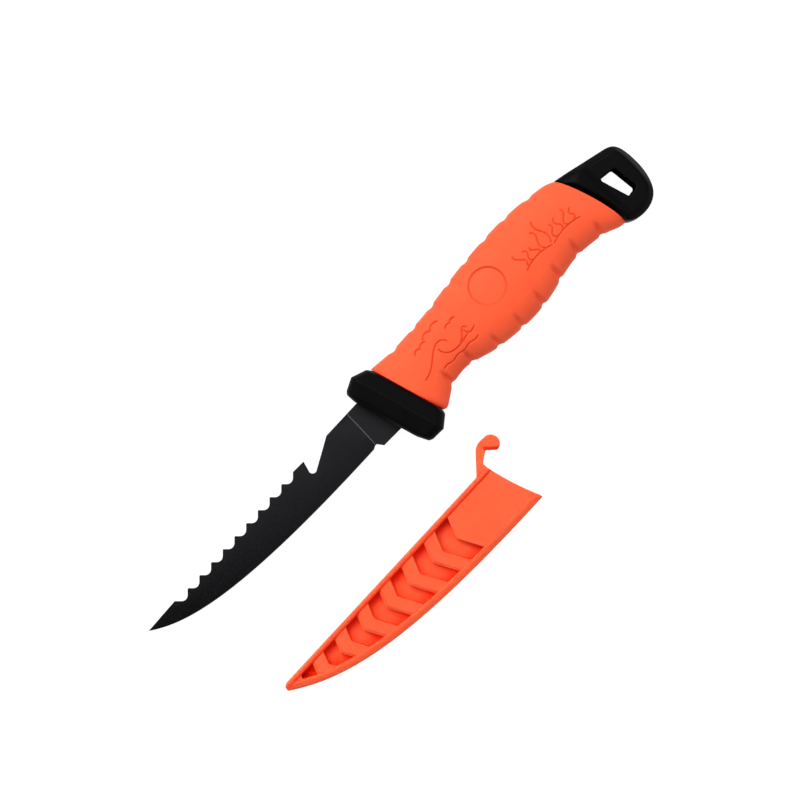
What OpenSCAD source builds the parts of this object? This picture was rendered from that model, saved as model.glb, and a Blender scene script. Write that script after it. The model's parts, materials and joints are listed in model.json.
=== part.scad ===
// Fixed-blade fishing and rigging knife, with its moulded sheath lying beside it.
// X runs from the blade's tip to the pommel, Y from the cutting edge to the spine, Z is up.
// Both pieces lie flat, so Z is 0 on the table, and the blade's mid-plane is half a guard above it.

/* [Blade] */
// Distance from the guard's centre to the tip
blade_l = 127; // [121:1:133]
// Thickness of the blade and its tang
blade_t = 2.2; // [1.6:0.1:2.6]
// Thickness that is left along the cutting edge
edge_t = 0.3; // [0.2:0.1:0.6]
// Width of the bevel that is ground along the cutting edge
grind_w = 5.5; // [4:0.5:8]
// Number of scallops along the spine
scallop_n = 10; // [9:1:10]
// Distance from one scallop to the next
scallop_pitch = 6.81; // [6.5:0.01:7]
// Depth of each scallop
scallop_depth = 2.2; // [1.5:0.1:2.5]

/* [Handle] */
// Thickness of the guard, which is also the thickest part of the knife
handle_t = 25; // [24:0.5:27]
// Lean of the guard towards the tip, in degrees
guard_lean = 16; // [14:1:18]
// Distance from the guard's centre to the end of the pommel
handle_l = 137; // [136:0.5:138]
// Thickness of the pommel where it meets the grip
pommel_front_t = 20; // [18:0.5:21]
// Thickness of the pommel at its end
pommel_end_t = 13; // [11:0.5:15]
// Depth of the flutes along the belly of the grip
flute_depth = 1.1; // [0.4:0.1:1.4]
// Depth of the notches along the back of the grip
notch_depth = 0.55; // [0.2:0.05:0.8]

/* [Tang and core] */
// Height of the tang
tang_h = 12; // [9:0.5:13]
// Radius of the rivets through the tang
rivet_r = 2; // [1.5:0.1:2.5]
// Height of the rigid core under the grip
core_h = 16; // [15:0.5:17]
// Thickness of the rigid core under the grip
core_t = 13; // [12:0.5:15]

/* [Sheath] */
// Thickness of the sheath
sheath_t = 8; // [7.4:0.1:9]
// Thickness of the pocket that the blade slides into
pocket_t = 3.2; // [2.8:0.1:3.4]
// Distance from one chevron window to the next
window_pitch = 12.6; // [12.4:0.1:12.9]
// Width of each chevron window
window_w = 7.3; // [6.8:0.1:7.6]
// Distance that the sheath lies to the side of the knife
sheath_aside = 55.2; // [50:0.2:70]
// Distance that the sheath is drawn back from its place on the blade
sheath_back = 23.4; // [15:0.2:30]
// Radius of the knob on the sheath's latch
knob_r = 3.4; // [2.8:0.1:3.6]

/* [Hidden] */
$fn = 48;

orange = [1.0, 0.42, 0.27];
black = [0.06, 0.06, 0.07];
steel = [0.75, 0.76, 0.78];

fit = 0.1;          // clearance round a piece that is pushed into another
past = 1;           // distance that a cutting tool runs past the face it cuts
mid_z = handle_t / 2;

// Blade outline
tip_y = 6.2;
spine_slope = 0.0535;
first_scallop_x = -blade_l + 19.1;
scallop_y = 6.8;
scallop_half = scallop_pitch / 2 - 0.15;
row_l = scallop_n * scallop_pitch;
row_rise = row_l * spine_slope;
scallop_r = (scallop_half - scallop_depth) / (sqrt(2) - 1);
hook_x = -37.1;     // round bottom of the line-cutting hook
hook_y = 5.6;
hook_r = 1.7;
hook_top = 10.2;    // height of the spine ahead of the hook
hook_mouth = [-24, 11]; // where the hook's ramp meets the spine
plunge_x = -12.8;   // where the grind stops before the guard
shoulder_x = 1;     // where the blade steps down to the tang
heel_low = -7.6;    // lowest and highest point of the blade at the guard
heel_top = 11.9;
belly = [[-blade_l, tip_y], [-blade_l + 13, -3], [-blade_l * 0.71, -9.4], [plunge_x - 2, -6]];
belly_steps = 9;

// Tang, rivets and pommel tenon
tang_y = 3;
tang_end = 92;
rivet_x = [36, 78];
rivet_l = core_t - 1;
tenon_x = 95;
tenon_h = 10;
tenon_t = 6;
pin_x = 101;
pin_r = 1.5;

// Grip stations: share of the length, height of the back, height of the belly, half thickness
grip_rear_t = pommel_front_t / 2;
grip_stations = [
    [0.00, 17.0, -13.9, 9.6],
    [0.05, 16.6, -12.5, 9.6],
    [0.10, 16.2, -9.9, 9.7],
    [0.15, 16.4, -8.9, 9.9],
    [0.20, 16.7, -8.7, 10.2],
    [0.25, 17.1, -10.0, 10.7],
    [0.30, 17.5, -11.6, 11.2],
    [0.40, 18.9, -13.1, 12.0],
    [0.50, 20.3, -13.5, 12.4],
    [0.60, 21.3, -12.4, 12.5],
    [0.70, 21.9, -10.0, 12.3],
    [0.78, 22.0, -8.7, 11.9],
    [0.85, 21.6, -9.0, 11.4],
    [0.92, 20.7, -10.2, 10.9],
    [0.97, 19.8, -12.3, grip_rear_t + 0.4],
    [1.00, 18.3, -12.7, grip_rear_t]
];
grip_top = 22;
grip_rings = 80;
ring_points = 32;
back_power = 3;     // squareness of the grip's section towards its back
belly_power = 2.2;  // squareness of the grip's section towards its belly
flute_first = 0.109;
flute_pitch = 0.1135;
notch_first = 0.109;
notch_pitch = 0.1118;
groove_n = 8;
groove_half = 0.014;

ridge_u = 4.5;      // where the guard is thickest, measured along the knife
guard_rear = 10.8;

// Guard plates, front to rear: place along the knife, lowest point, highest point, half thickness
guard_plates = [
    [-3.2, -14.0, 14.0, 9.6],
    [-2.3, -18.6, 17.7, 10.8],
    [-1.0, -19.7, 18.6, 11.4],
    [ridge_u, -21.3, 19.6, handle_t / 2],
    [9.8, -19.1, 16.0, 10.7],
    [guard_rear, -17.6, 13.8, 9.8]
];
guard_corner = 4;
plate_t = 0.1;

// Joint between the grip and the pommel
rear_top = [108.5, 18.3];
rear_low = [117.5, -12.7];
rear_bulge = 1;
rear_steps = 12;
pommel_mid_y = 1.4;
pommel_half_h = 17.5;
pommel_edge = 2.5;  // bevel round the pommel's end
hole_corners = [[122.2, 5.2], [127.4, 4.6], [128.4, -4.9], [125.4, -5.4]];
hole_r = 1;         // corner radius of the lanyard opening
hole_recess = 2;    // width of the recess round the lanyard opening

// Sheath outline, in its place on the blade
sheath_tip_x = -blade_l - 2.2;
spine_a = [sheath_tip_x + 1.4, 8.5];
spine_b = [-11.8, 12.96];
mouth_low = [-4.3, -10.7];
mouth_bend = [-9.9, 2.1];
mouth_top = spine_b + [-0.2, 1]; // past the spine, so that the mouth crosses it cleanly
sheath_belly = [[sheath_tip_x, 6], [-110, -6.8], [-84, -14.5], mouth_low];
sheath_low = -11.7;
wall = 1;           // wall beside the pocket
rim_spine = 1.9;    // width of the raised rim along the spine
rim_belly = 3.1;    // width of the raised rim along the belly
rim_step = 0.5;     // height of the rim over the panel
ledge = 0.2;        // strip of panel between the rim and the windows
skin = (sheath_t - pocket_t) / 2;
window_n = 7;
panel_end = [-40.1, 1.7]; // apex of the chevron that ends the mouth panel
apex_rise = 0.1;
upper_lean = 22;
lower_lean = 28;
bar_lap = 0.8;      // how far each back bar reaches behind the front bars beside it

// Latch on the sheath's spine corner, in the same place
latch_axis = [-14.8, 14.1];
root_r = 1.5;
root_gap = 0.15;
elbow = [-7.2, 20.2];
elbow_r = 1.9;
knob = [-4.2, 18.7];
arm_w = 2 * root_r;
arm_t = 4.4;
knob_t = 7;

// The middle of everything that lies on the table
centre_x = (handle_l - blade_l) / 2;
centre_y = (grip_top + sheath_low - sheath_aside) / 2;

// ---- helpers ----

function lerp(a, b, t) = a + (b - a) * t;

function bezier(p, t) =
    pow(1 - t, 3) * p[0] + 3 * pow(1 - t, 2) * t * p[1] + 3 * (1 - t) * t * t * p[2] + pow(t, 3) * p[3];

function bezier_slope(p, t) =
    3 * pow(1 - t, 2) * (p[1] - p[0]) + 6 * (1 - t) * t * (p[2] - p[1]) + 3 * t * t * (p[3] - p[2]);

// A point of a curve, moved to its left by d
function bezier_inset(p, t, d) =
    let (s = bezier_slope(p, t))
    bezier(p, t) + d * [-s[1], s[0]] / norm(s);

function bend(a, b, c, t) = pow(1 - t, 2) * a + 2 * (1 - t) * t * b + t * t * c;

// A smooth curve through one column of a table of stations
function station(table, s) = max([for (i = [0 : len(table) - 2]) table[i][0] <= s ? i : 0]);
function row_value(table, i, column) = table[max(0, min(len(table) - 1, i))][column];
function row_tangent(table, i, column) =
    let (a = max(0, i - 1), b = min(len(table) - 1, i + 1))
    (table[b][column] - table[a][column]) / (table[b][0] - table[a][0]);
function smooth(table, column, s) =
    let (
        i = station(table, s),
        width = table[i + 1][0] - table[i][0],
        t = (s - table[i][0]) / width,
        t2 = t * t,
        t3 = t2 * t
    )
    (2 * t3 - 3 * t2 + 1) * row_value(table, i, column)
    + (t3 - 2 * t2 + t) * width * row_tangent(table, i, column)
    + (3 * t2 - 2 * t3) * row_value(table, i + 1, column)
    + (t3 - t2) * width * row_tangent(table, i + 1, column);

module placed() translate([-centre_x, -centre_y, 0]) children();

module knife_plane() placed() translate([0, 0, mid_z]) children();

module laid_beside() placed() translate([sheath_back, -sheath_aside, 0]) children();

// A round bar from one point to another in the plan
module bar(from, to, width, height) {
    along = to - from;
    translate([from[0], from[1], 0])
        rotate([0, 0, atan2(along[1], along[0])])
            translate([0, -width / 2, -height / 2])
                cube([norm(along), width, height]);
}

// ---- blade ----

// A round-bottomed scallop, whose sides carry on straight at 45 degrees
module scallop() {
    side = scallop_r / sqrt(2);
    far = side + scallop_r;
    up = scallop_r - side;
    circle(r = scallop_r);
    polygon([[-side, -side], [side, -side], [far, up], [-far, up]]);
}

module blade_outline() {
    row_end = first_scallop_x + row_l - scallop_pitch / 2;
    row_start = first_scallop_x - scallop_pitch / 2;
    difference() {
        polygon(concat(
            [for (i = [0 : belly_steps]) bezier(belly, i / belly_steps)],
            [
                [plunge_x - 0.5, -5.2], [plunge_x + 0.4, -5.3], [plunge_x + 2.1, heel_low],
                [shoulder_x, heel_low], [shoulder_x, tang_y - tang_h / 2],
                [tang_end, tang_y - tang_h / 2], [tang_end, tang_y + tang_h / 2],
                [shoulder_x, tang_y + tang_h / 2], [shoulder_x, heel_top], hook_mouth,
                [hook_x, hook_top], [row_end, hook_top], [row_end, scallop_y + row_rise],
                [row_start, scallop_y], [row_start, scallop_y + 0.4]
            ]
        ));
        for (i = [0 : scallop_n - 1])
            translate([first_scallop_x + i * scallop_pitch, scallop_y + i * scallop_pitch * spine_slope])
                translate([0, scallop_r - scallop_depth]) scallop();
        translate([hook_x, hook_y]) circle(r = hook_r);
        polygon([
            [hook_x - 0.4, heel_top + past], [hook_x - 0.4, hook_top], [hook_x - hook_r, hook_y],
            [hook_x + 1.1, hook_y - 1.3], hook_mouth, hook_mouth + [0, 1 + past]
        ]);
        for (x = rivet_x) translate([x, tang_y]) circle(r = rivet_r);
    }
}

module grind(from, to, lap) {
    along = to - from;
    slope = atan((blade_t - edge_t) / 2 / grind_w);
    translate([from[0], from[1], 0])
        rotate([0, 0, atan2(along[1], along[0])])
            translate([-lap, 0, edge_t / 2])
                rotate([slope, 0, 0])
                    translate([0, -3, 0])
                        cube([norm(along) + 2 * lap, grind_w + 6, blade_t]);
}

module blade() color(black) knife_plane() difference() {
    translate([0, 0, -blade_t / 2]) linear_extrude(blade_t) blade_outline();
    for (side = [0, 1]) mirror([0, 0, side])
        for (i = [0 : belly_steps - 1])
            grind(bezier(belly, i / belly_steps), bezier(belly, (i + 1) / belly_steps),
                  i == belly_steps - 1 ? 0 : 0.5);
}

// ---- guard ----

// One thin plate of the guard's hull, kept inside its own end of the guard
module guard_plate(plate) {
    u = plate[0] - plate_t / 2 * sign(plate[0] - ridge_u);
    half_t = plate[3];
    for (v = [plate[1] + guard_corner, plate[2] - guard_corner])
        for (z = [-half_t + guard_corner, half_t - guard_corner])
            translate([u, v, z]) rotate([0, 90, 0])
                cylinder(r = guard_corner, h = plate_t, center = true, $fn = 32);
}

module guard() color(black) knife_plane() difference() {
    slot_t = blade_t + 2 * fit;
    rotate([0, 0, guard_lean]) hull() for (plate = guard_plates) guard_plate(plate);
    translate([-handle_t, heel_low - fit, -slot_t / 2])
        cube([handle_t + shoulder_x + fit, heel_top - heel_low + 2 * fit, slot_t]);
    translate([0, tang_y - tang_h / 2 - fit, -slot_t / 2]) cube([handle_t, tang_h + 2 * fit, slot_t]);
}

// ---- handle ----

// Front and rear ends of the grip at a given height
function grip_front_x(y) = (guard_rear - y * sin(guard_lean)) / cos(guard_lean);
function grip_rear_x(y) =
    let (t = (rear_top[1] - y) / (rear_top[1] - rear_low[1]), w = 2 * t - 1)
    lerp(rear_top[0], rear_low[0], t) + rear_bulge * (1 - w * w);
function grip_x(y, s) = lerp(grip_front_x(y), grip_rear_x(y), s);

// A groove's depth across its width, summed over a row of grooves
function groove(s, first, pitch) =
    let (i = round((s - first) / pitch), d = abs(s - first - i * pitch) / groove_half)
    i < 0 || i > groove_n - 1 || d > 1 ? 0 : pow(cos(90 * d), 2);

function power_wave(v, p) = sign(v) * pow(abs(v), 2 / p);

function grip_ring(s) =
    let (
        top = smooth(grip_stations, 1, s) - notch_depth * groove(s, notch_first, notch_pitch),
        low = smooth(grip_stations, 2, s),
        half_t = smooth(grip_stations, 3, s),
        mid = (top + low) / 2,
        half_h = (top - low) / 2
    )
    [for (i = [0 : ring_points - 1])
        let (
            a = 360 * i / ring_points,
            p = cos(a) < 0 ? belly_power : back_power,
            cut = cos(a) < -0.3 ? flute_depth * groove(s, flute_first, flute_pitch) * (-cos(a) - 0.3) : 0,
            y = mid + (half_h - cut) * power_wave(cos(a), p),
            z = (half_t - cut) * power_wave(sin(a), p)
        )
        [grip_x(y, s), y, z]
    ];

function core_ring() = [for (i = [0 : ring_points - 1])
    let (a = 360 * i / ring_points)
    [tang_y + core_h / 2 * power_wave(cos(a), 4), core_t / 2 * power_wave(sin(a), 4)]
];

module grip() color(orange) knife_plane() {
    n = ring_points;
    core = core_ring();
    rings = concat(
        [[for (p = core) [grip_x(p[0], 0), p[0], p[1]]]],
        [for (k = [0 : grip_rings]) grip_ring(k / grip_rings)],
        [[for (p = core) [grip_x(p[0], 1), p[0], p[1]]]]
    );
    points = [for (ring = rings) each ring];
    faces = [for (k = [0 : len(rings) - 1], i = [0 : n - 1])
        let (j = (i + 1) % n, a = k * n, b = ((k + 1) % len(rings)) * n)
        each [[a + i, a + j, b + j], [a + i, b + j, b + i]]
    ];
    polyhedron(points, faces);
}

// The stretch of the knife between the guard and the pommel, seen in plan
module handle_band() {
    polygon(concat(
        [[grip_front_x(20), 20], [grip_front_x(-20), -20]],
        [for (i = [0 : rear_steps]) let (y = lerp(-20, 20, i / rear_steps)) [grip_rear_x(y), y]]
    ));
}

module core_half(side) color(black) knife_plane() difference() {
    intersection() {
        translate([0, 0, -core_t]) linear_extrude(2 * core_t) handle_band();
        rotate([90, 0, 90]) linear_extrude(handle_l) intersection() {
            polygon(core_ring());
            translate([-core_h, side > 0 ? 0 : -core_t]) square([3 * core_h, core_t]);
        }
    }
    translate([0, tang_y - tang_h / 2, -blade_t / 2]) cube([tang_end, tang_h, blade_t]);
    translate([tenon_x, tang_y - tenon_h / 2, -tenon_t / 2]) cube([handle_l, tenon_h, tenon_t]);
    for (x = rivet_x) translate([x, tang_y, -rivet_l / 2]) cylinder(r = rivet_r, h = rivet_l);
    translate([pin_x, tang_y, -rivet_l / 2]) cylinder(r = pin_r, h = rivet_l);
}

module core_left() core_half(1);

module core_right() core_half(-1);

module tang_rivets() color(steel) knife_plane()
    for (x = rivet_x) translate([x, tang_y, -rivet_l / 2]) cylinder(r = rivet_r, h = rivet_l);

module pommel_pin() color(steel) knife_plane()
    translate([pin_x, tang_y, -rivet_l / 2]) cylinder(r = pin_r, h = rivet_l);

module pommel_outline() {
    polygon(concat(
        [for (i = [0 : rear_steps])
            let (y = lerp(rear_top[1], rear_low[1], i / rear_steps))
            [grip_rear_x(y), y]],
        [for (i = [1 : 8]) bezier([rear_low, [121, -16], [128, -16], [132, -12.8]], i / 8)],
        [for (i = [1 : 8]) bezier([[132, -12.8], [135.6, -9.8], [handle_l, -4], [handle_l, 1]], i / 8)],
        [for (i = [1 : 8]) bezier([[handle_l, 1], [handle_l, 9], [135.8, 12.2], [131, 13.4]], i / 8)]
    ));
}

module lanyard_hole(grow) {
    hull() for (corner = hole_corners) translate(corner) circle(r = hole_r + grow);
}

module pommel() color(black) knife_plane() {
    front_half = pommel_front_t / 2;
    end_half = pommel_end_t / 2;
    difference() {
        intersection() {
            translate([0, 0, -front_half]) linear_extrude(2 * front_half) pommel_outline();
            rotate([90, 0, 0]) translate([0, 0, -30]) linear_extrude(60) polygon([
                [100, -front_half], [111, -front_half], [120, -end_half - 1],
                [handle_l - 3, -end_half], [handle_l, pommel_edge - end_half],
                [handle_l, end_half - pommel_edge], [handle_l - 3, end_half],
                [120, end_half + 1], [111, front_half], [100, front_half]
            ]);
            rotate([90, 0, 90]) linear_extrude(2 * handle_l) polygon([
                for (i = [0 : ring_points - 1])
                    let (a = 360 * i / ring_points)
                    [pommel_mid_y + pommel_half_h * power_wave(cos(a), back_power),
                     front_half * power_wave(sin(a), back_power)]
            ]);
        }
        translate([0, 0, -front_half - past]) linear_extrude(2 * (front_half + past)) lanyard_hole(0);
        for (side = [0, 1]) mirror([0, 0, side])
            translate([0, 0, end_half - 1]) linear_extrude(front_half) lanyard_hole(hole_recess);
    }
    difference() {
        translate([tenon_x, tang_y - tenon_h / 2, -tenon_t / 2])
            cube([grip_rear_x(tang_y) - tenon_x, tenon_h, tenon_t]);
        translate([pin_x, tang_y, -tenon_t]) cylinder(r = pin_r, h = 2 * tenon_t);
    }
}

// ---- sheath ----

// The sheath's outline, inset by one amount along the spine and another along the belly
module sheath_outline(spine_in, belly_in, mouth_out) {
    steps = 16;
    rise = (spine_b - spine_a) / norm(spine_b - spine_a);
    inward = [rise[1], -rise[0]];
    far = 60;
    low = bezier_inset(sheath_belly, 1, belly_in);
    out = [mouth_out, 0];
    intersection() {
        polygon(concat(
            [for (i = [0 : steps - 1]) bezier_inset(sheath_belly, i / steps, belly_in)],
            [for (i = [0 : 6]) bend(low, mouth_bend, mouth_top, i / 6) + out],
            [mouth_top + [mouth_out, far], bezier_inset(sheath_belly, 0, belly_in) + [0, far]]
        ));
        polygon([
            spine_a - far * rise + spine_in * inward, spine_a - far * rise + 2 * far * inward,
            spine_b + far * rise + 2 * far * inward, spine_b + far * rise + spine_in * inward
        ]);
    }
}

// A strip with a chevron bend, whose right edge has its apex at the given point
module chevron(apex, width) {
    reach = 20;
    up = [reach * tan(upper_lean), reach];
    down = [reach * tan(lower_lean), -reach];
    back = [-width, 0];
    polygon([apex + down, apex, apex + up, apex + up + back, apex + back, apex + down + back]);
}

function window_apex(k) = panel_end + [-k * window_pitch, k * apex_rise];

// A row of chevron windows, cut through a skin of the sheath inside its rim
module windows(count, offset, width) {
    linear_extrude(skin + 2 * past) intersection() {
        sheath_outline(rim_spine + ledge, rim_belly + ledge, 0);
        union() for (k = [0 : count - 1]) chevron(window_apex(k) - [offset, 0], width);
    }
}

// The round seat that the latch's root turns in
module latch_seat() {
    translate([latch_axis[0], latch_axis[1], -past])
        cylinder(r = root_r + root_gap, h = sheath_t + 2 * past);
}

module sheath_front_panel() color(orange) laid_beside() difference() {
    translate([0, 0, sheath_t - skin]) linear_extrude(skin) sheath_outline(0, 0, 0);
    translate([0, 0, sheath_t - rim_step])
        linear_extrude(2 * rim_step) sheath_outline(rim_spine, rim_belly, 5);
    translate([0, 0, sheath_t - skin - past]) windows(window_n, 0, window_w);
    latch_seat();
}

module sheath_edge() color(orange) laid_beside() difference() {
    translate([0, 0, skin]) linear_extrude(pocket_t) sheath_outline(0, 0, 0);
    translate([0, 0, skin - past]) linear_extrude(pocket_t + 2 * past) sheath_outline(wall, wall, 5);
    latch_seat();
}

module sheath_back_panel() color(orange) laid_beside() difference() {
    linear_extrude(skin) sheath_outline(0, 0, 0);
    translate([0, 0, -past])
        windows(window_n - 1, window_w + bar_lap, window_pitch - window_w - 2 * bar_lap);
    latch_seat();
}

module sheath_latch() color(orange) laid_beside() translate([0, 0, sheath_t / 2]) {
    translate([latch_axis[0], latch_axis[1], -arm_t / 2]) cylinder(r = root_r, h = arm_t);
    bar(latch_axis, elbow, arm_w, arm_t);
    translate([elbow[0], elbow[1], -arm_t / 2]) cylinder(r = elbow_r, h = arm_t);
    bar(elbow, knob, arm_w, arm_t);
    translate([knob[0], knob[1], -knob_t / 2]) cylinder(r = knob_r, h = knob_t);
}

blade();
guard();
core_left();
core_right();
tang_rivets();
pommel();
pommel_pin();
grip();
sheath_front_panel();
sheath_edge();
sheath_back_panel();
sheath_latch();
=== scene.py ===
"""The looks of a fixed-blade fishing and rigging knife and its moulded sheath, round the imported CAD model.

Shapes are worked out in millimetres. The knife's plan has the guard's centre at 0, 0, X towards the pommel,
Y towards the spine, and Z 0 in the blade's mid-plane. The sheath's plan is the same one, with the sheath on
the blade and Z 0 on its back face. Both are then placed in the row frame, from the CAD nodes and joints.
"""

import json
import math

import bpy
import numpy as np
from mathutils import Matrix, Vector
from mathutils.geometry import delaunay_2d_cdt


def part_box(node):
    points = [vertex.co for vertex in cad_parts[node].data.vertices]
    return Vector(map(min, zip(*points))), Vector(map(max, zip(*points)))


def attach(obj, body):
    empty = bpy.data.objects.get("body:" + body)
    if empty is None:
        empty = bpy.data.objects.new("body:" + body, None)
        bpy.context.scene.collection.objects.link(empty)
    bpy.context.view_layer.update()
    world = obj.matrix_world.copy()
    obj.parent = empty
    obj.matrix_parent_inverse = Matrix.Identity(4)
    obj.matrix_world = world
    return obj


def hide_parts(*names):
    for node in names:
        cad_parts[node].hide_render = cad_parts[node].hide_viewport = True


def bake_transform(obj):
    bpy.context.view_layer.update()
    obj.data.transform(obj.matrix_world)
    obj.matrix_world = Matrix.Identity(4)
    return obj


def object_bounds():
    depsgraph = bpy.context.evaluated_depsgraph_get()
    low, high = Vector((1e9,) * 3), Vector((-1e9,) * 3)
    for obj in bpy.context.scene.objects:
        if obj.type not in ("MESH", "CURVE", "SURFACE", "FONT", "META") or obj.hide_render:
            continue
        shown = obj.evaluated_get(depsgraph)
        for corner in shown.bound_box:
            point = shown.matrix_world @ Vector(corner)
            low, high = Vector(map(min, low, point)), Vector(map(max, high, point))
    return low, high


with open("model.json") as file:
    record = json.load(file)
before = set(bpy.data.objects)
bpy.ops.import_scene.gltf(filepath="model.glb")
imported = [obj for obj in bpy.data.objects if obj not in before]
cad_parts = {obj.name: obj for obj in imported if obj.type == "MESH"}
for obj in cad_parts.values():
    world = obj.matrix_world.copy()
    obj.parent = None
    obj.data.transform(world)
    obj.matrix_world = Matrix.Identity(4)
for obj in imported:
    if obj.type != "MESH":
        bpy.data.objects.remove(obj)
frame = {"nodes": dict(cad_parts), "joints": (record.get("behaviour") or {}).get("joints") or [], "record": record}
cad_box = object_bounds()

MM = 0.001

# ---- the design's own sizes, as in the CAD source (mm) ----

BLADE_L = 127.0
BLADE_T = 2.2
EDGE_T = 0.3
GRIND_W = 5.5
HANDLE_L = 137.0
GUARD_LEAN = math.radians(16)
HEEL_LOW, HEEL_TOP = -7.6, 11.9
PLUNGE_X, PLUNGE_W, PLUNGE_STEP = -12.8, 0.4, 0.11
EDGE_ROUND = 0.14
BELLY = [(-BLADE_L, 6.2), (-BLADE_L + 13, -3), (-BLADE_L * 0.71, -9.4), (PLUNGE_X - 2, -6)]

SCALLOPS = 10
SCALLOP_PITCH = 6.81
SCALLOP_DEPTH = 2.2
SCALLOP_HALF = SCALLOP_PITCH / 2 - 0.15
SCALLOP_R = (SCALLOP_HALF - SCALLOP_DEPTH) / (math.sqrt(2) - 1)
FIRST_SCALLOP = (-BLADE_L + 19.1, 6.8)
SPINE_SLOPE = 0.0535
HOOK = (-37.1, 5.6)
HOOK_R = 1.7
HOOK_TOP = 10.2

TANG_Y, TANG_H, TANG_END = 3.0, 12.0, 92.0
RIVET_X = (36.0, 78.0)
RIVET_R = 2.0

# Guard, front to rear: place along the knife, lowest point, highest point, half thickness
GUARD_PLATES = np.array([
    (-3.2, -14.0, 14.0, 9.6),
    (-2.3, -18.6, 17.7, 10.8),
    (-1.0, -19.7, 18.6, 11.4),
    (4.5, -21.3, 19.6, 12.5),
    (9.8, -19.1, 16.0, 10.7),
    (10.8, -17.6, 13.8, 9.8),
])
GUARD_CORNER = 4.0

# Grip: share of the length, height of the back, height of the belly, half thickness
GRIP_STATIONS = np.array([
    (0.00, 17.0, -14.1, 9.6),
    (0.018, 16.9, -14.5, 9.6),
    (0.05, 16.6, -12.9, 9.6),
    (0.10, 16.2, -10.1, 9.7),
    (0.15, 16.4, -8.9, 9.9),
    (0.20, 16.7, -8.7, 10.2),
    (0.25, 17.1, -10.0, 10.7),
    (0.30, 17.5, -11.6, 11.2),
    (0.40, 18.9, -13.1, 12.0),
    (0.50, 20.3, -13.5, 12.4),
    (0.60, 21.3, -12.4, 12.5),
    (0.70, 21.9, -10.0, 12.3),
    (0.78, 22.0, -8.7, 11.9),
    (0.85, 21.6, -9.0, 11.4),
    (0.92, 20.7, -10.2, 10.9),
    (0.97, 19.8, -12.3, 10.4),
    (1.00, 18.3, -12.7, 10.0),
])
BACK_POWER, BELLY_POWER = 3.0, 2.05     # squareness of the section towards the back and the belly
GRIP_RINGS, GRIP_AROUND = 300, 304
GRIP_END_R, GRIP_ABOUT_L = 0.5, 103
GROOVES = 8     # both the flutes along the belly and the notches along the back
FLUTE_X, FLUTE_GAP, FLUTE_DEPTH, FLUTE_H = 25.3, 11.7, 1.35, 7.8
FLUTE_LEAN, FLUTE_LEAN_STEP = -0.05, 0.02     # lean of the first flute, and what each next one adds
FLUTE_TOP_HALF, FLUTE_SPREAD = 0.9, 0.9     # half width at a flute's top, and what its foot adds
NOTCH_FIRST, NOTCH_PITCH, NOTCH_HALF, NOTCH_DEPTH = 0.109, 0.1118, 0.024, 0.55
REAR_TOP, REAR_LOW, REAR_BULGE = (108.5, 18.3), (117.5, -12.7), 1.0
CORE_H, CORE_T, CORE_POWER = 16.0, 13.0, 4
BADGE, BADGE_R, BADGE_DEPTH, BADGE_EDGE = (60.9, 7.9), 7.35, 0.6, 0.25

# Engraving on the grip
STROKE_HALF, STROKE_DEPTH = 0.42, 0.5
# Place, width and height of each wave, and its curves in shares of these
WAVES = ((18.5, -1.2, 21, 7.2), (38.5, -0.2, 7, 3.6))
WAVE_BACK = [(0, 0), (0.3, 0.1), (0.4, 0.9), (0.62, 1)]
WAVE_LIP = [(0.62, 1), (0.7, 1.02), (0.76, 0.9), (0.78, 0.7)]
WAVE_TROUGH = [(0.56, 0.72), (0.6, -0.3), (1.15, 0.2)]
RIPPLE_START, RIPPLE_END, RIPPLE_Y, RIPPLE_H, RIPPLE_L = 27, 45, -3.2, 0.3, 6
# Place, half span and rise of each bird
GULLS = ((25.5, 8.6, 3.2, 1.1), (33, 10.6, 4.6, 1.5), (40.6, 7.6, 2.8, 0.9))
MOUNDS, MOUND_START_Y, MOUND_PEAK_Y, MOUND_END_Y = ((76, 89.5), (91, 105)), 1.2, 3.6, 1.4
WEEDS, WEED_X, WEED_GAP, WEED_FOOT = 9, 77.5, 3.2, 2.3
WEED_H, WEED_VARY, WEED_MIDDLE = 3.4, 3.2, 5.2     # least height, what varies, and what the middle one adds
WEED_LEAN, WEED_SWAY, WEED_TURNS = 0.45, 0.95, 1.9

# Pommel
POMMEL_FRONT, POMMEL_END = 10.0, 6.5
POMMEL_MID_Y, POMMEL_HALF_H = 1.4, 17.5
HOLE_CORNERS = [(122.2, 5.2), (127.4, 4.6), (128.4, -4.9), (125.4, -5.4)]
HOLE_R = 1.0
POMMEL_BEVEL = 2.4

# Sheath and latch
SHEATH_T, POCKET_T = 8.0, 3.2
SHEATH_TIP = -BLADE_L - 2.2
SPINE_A, SPINE_B = np.array((SHEATH_TIP + 1.4, 8.5)), np.array((-11.8, 12.96))
MOUTH_LOW, MOUTH_BEND = (-4.3, -10.7), (-9.9, 2.1)
SHEATH_BELLY = [(SHEATH_TIP, 6.0), (-110.0, -6.8), (-84.0, -14.5), MOUTH_LOW]
WALL, RIM_SPINE, RIM_BELLY, RIM_STEP = 1.0, 1.75, 3.1, 0.7
EDGE_Z = 2.4     # height of the edge wall's lowest point over the back face
WINDOWS, WINDOW_PITCH, WINDOW_W, LEDGE, BAR_LAP = 7, 12.6, 7.3, 0.2, 0.8
RIM_SHADE_UP, RIM_SHADE_HALF = 0.25, 0.6     # a painted shade line, deeper red, at the foot of the spine's rim: its place and half width
PANEL_END, APEX_RISE = (-40.1, 1.7), 0.1
BELLY_BEVEL, BEVEL_TILT = 2.2, math.radians(32)
BAR_STEP_W, BAR_STEP = 0.9, 0.45     # step along each bar's edge towards the tip
UPPER_LEAN, LOWER_LEAN = math.radians(22), math.radians(28)
LATCH_AXIS = (-14.8, 14.1)
KNOB, KNOB_R, KNOB_T, ARM_T = (-4.1, 18.4), 3.5, 7.0, 4.4
KNOB_FLAT = 2.6     # distance from the knob's middle to the flat on its lower left
FLAT_WAY = (-0.683, -0.73)
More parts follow.
